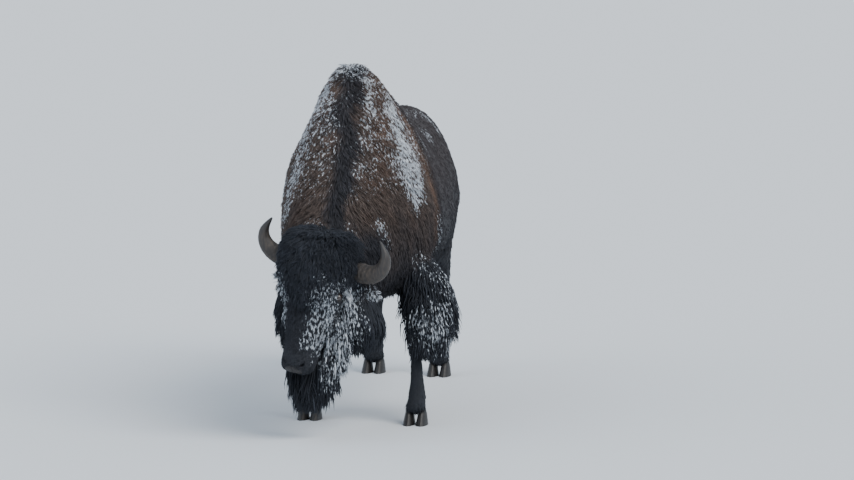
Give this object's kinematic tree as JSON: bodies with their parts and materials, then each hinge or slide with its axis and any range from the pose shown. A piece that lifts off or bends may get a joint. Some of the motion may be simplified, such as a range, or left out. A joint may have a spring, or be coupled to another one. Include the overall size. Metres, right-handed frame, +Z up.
{
  "type": "bison",
  "caption": "Life-size American bison bull in winter coat: high hump, long shaggy forequarters, head lowered and turned aside, short curved horns, standing on its hooves.",
  "frame": {"origin": "on the floor, under the middle of the whole animal's box", "axes": "+Z up; +Y towards the tail, the head at -Y; +X to the animal's left"},
  "size_m": [0.9772, 3.0534, 1.8045],
  "materials": {
    "body_hair": "short dense winter hair, dull, dark brown",
    "cape_hair": "long loose hair, reddish brown, dusted with snow",
    "dark_hair": "long shaggy hair, nearly black",
    "face_hair": "short woolly hair, blackish brown, dusted with snow",
    "horn": "grey-brown keratin, satin, ringed at the root, dark at the tip",
    "eye": "wet, dark brown",
    "hoof": "dark grey keratin, satin"
  },
  "bodies": {
    "root": {"beard": "dark_hair", "chaps_left": "dark_hair", "chaps_right": "dark_hair", "crown_hair": "dark_hair", "ear_left": "face_hair", "ear_right": "face_hair", "eye_left": "eye", "eye_right": "eye", "foredewclaw_left_inner": "hoof", "foredewclaw_left_outer": "hoof", "foredewclaw_right_inner": "hoof", "foredewclaw_right_outer": "hoof", "forehoof_left_inner": "hoof", "forehoof_left_outer": "hoof", "forehoof_right_inner": "hoof", "forehoof_right_outer": "hoof", "foreleg_left": "body_hair", "foreleg_right": "body_hair", "head": "face_hair", "hinddewclaw_left_inner": "hoof", "hinddewclaw_left_outer": "hoof", "hinddewclaw_right_inner": "hoof", "hinddewclaw_right_outer": "hoof", "hindhoof_left_inner": "hoof", "hindhoof_left_outer": "hoof", "hindhoof_right_inner": "hoof", "hindhoof_right_outer": "hoof", "hindleg_left": "body_hair", "hindleg_right": "body_hair", "horn_left": "horn", "horn_right": "horn", "neck": "cape_hair", "tail": "body_hair", "tail_switch": "dark_hair", "throat_mane": "dark_hair", "trunk": "body_hair"}
  },
  "joints": []
}
